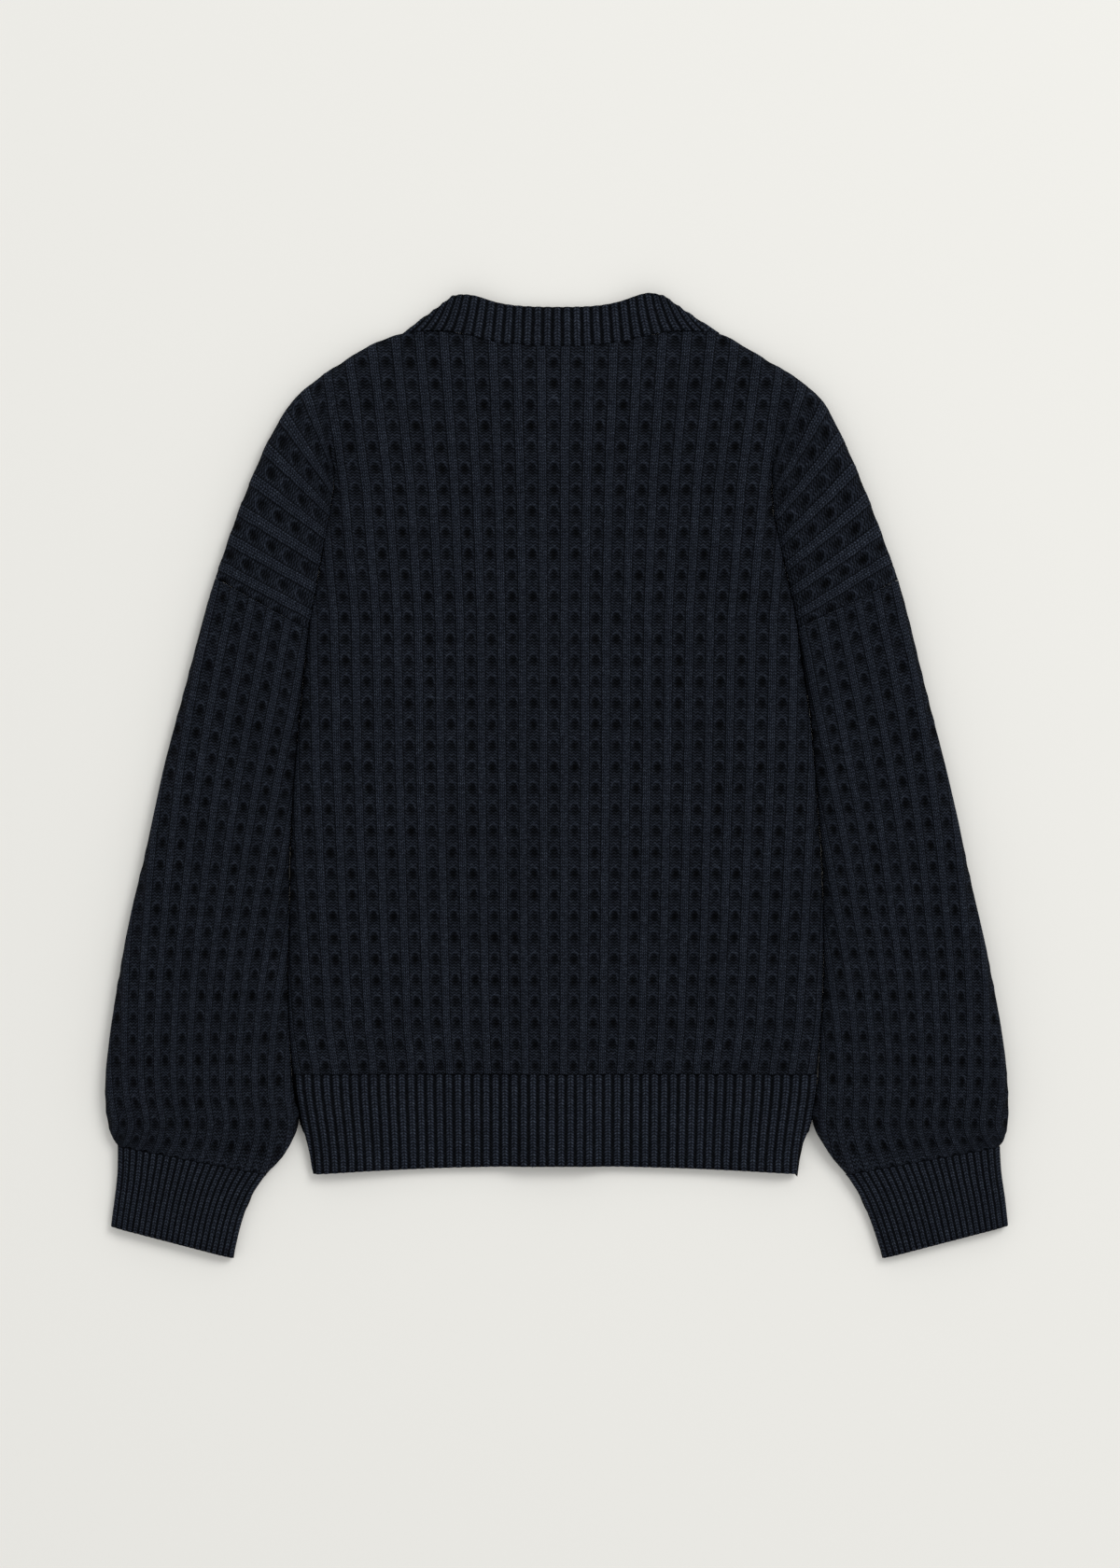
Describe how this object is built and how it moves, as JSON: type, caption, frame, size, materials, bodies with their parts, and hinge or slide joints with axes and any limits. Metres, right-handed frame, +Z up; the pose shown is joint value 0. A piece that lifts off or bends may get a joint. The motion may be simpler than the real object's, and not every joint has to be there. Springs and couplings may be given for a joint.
{
  "type": "cardigan",
  "caption": "Chunky ribbed wool cardigan laid flat face down, with dropped shoulders, full sleeves, rib neckband, hem and cuffs, and a buttoned front",
  "frame": {"origin": "middle of the laid garment's outline, on the surface it lies on", "axes": "+Z up from the surface, +Y towards the neck, -X towards the wearer's left"},
  "size_m": [0.6158, 0.6571, 0.018],
  "materials": {
    "body_knit": "navy wool, two-wale rib with tuck cells",
    "sleeve_knit": "navy wool, the same rib left slack",
    "rib_knit": "navy wool one by one rib",
    "button": "satin dark navy"
  },
  "bodies": {
    "root": {"back": "body_knit", "front_left": "body_knit", "front_right": "body_knit", "sleeve_left": "sleeve_knit", "sleeve_right": "sleeve_knit", "cuff_left": "rib_knit", "cuff_right": "rib_knit", "hem_back": "rib_knit", "hem_front_left": "rib_knit", "hem_front_right": "rib_knit", "neckband": "rib_knit", "button_band": "rib_knit", "buttonhole_band": "rib_knit", "button_1": "button", "button_2": "button", "button_3": "button", "button_4": "button", "button_5": "button", "button_6": "button", "button_7": "button"}
  },
  "joints": []
}
